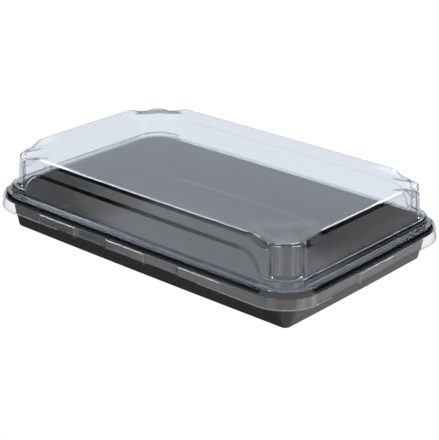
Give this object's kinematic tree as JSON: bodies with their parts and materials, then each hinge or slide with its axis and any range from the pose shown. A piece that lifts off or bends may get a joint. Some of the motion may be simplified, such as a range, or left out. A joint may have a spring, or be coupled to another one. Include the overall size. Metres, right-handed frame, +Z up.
{
  "type": "takeaway sushi tray",
  "caption": "Shallow black thermoformed plastic tray with a rolled rim, closed by a clear domed lid with a ledge, inset corner columns, arched side panels and a push-on skirt with small lugs.",
  "frame": {"origin": "middle of the flat bottom, on the surface it stands on", "axes": "X along the long side, Y along the short side, Z up"},
  "size_m": [0.242, 0.1558, 0.0506],
  "materials": {
    "black_sheet": "glossy black inside, satin charcoal outside",
    "clear_sheet": "clear glossy sheet with a faint blue-grey cast"
  },
  "bodies": {
    "root": {"tray": "black_sheet", "lid": "clear_sheet"}
  },
  "joints": []
}
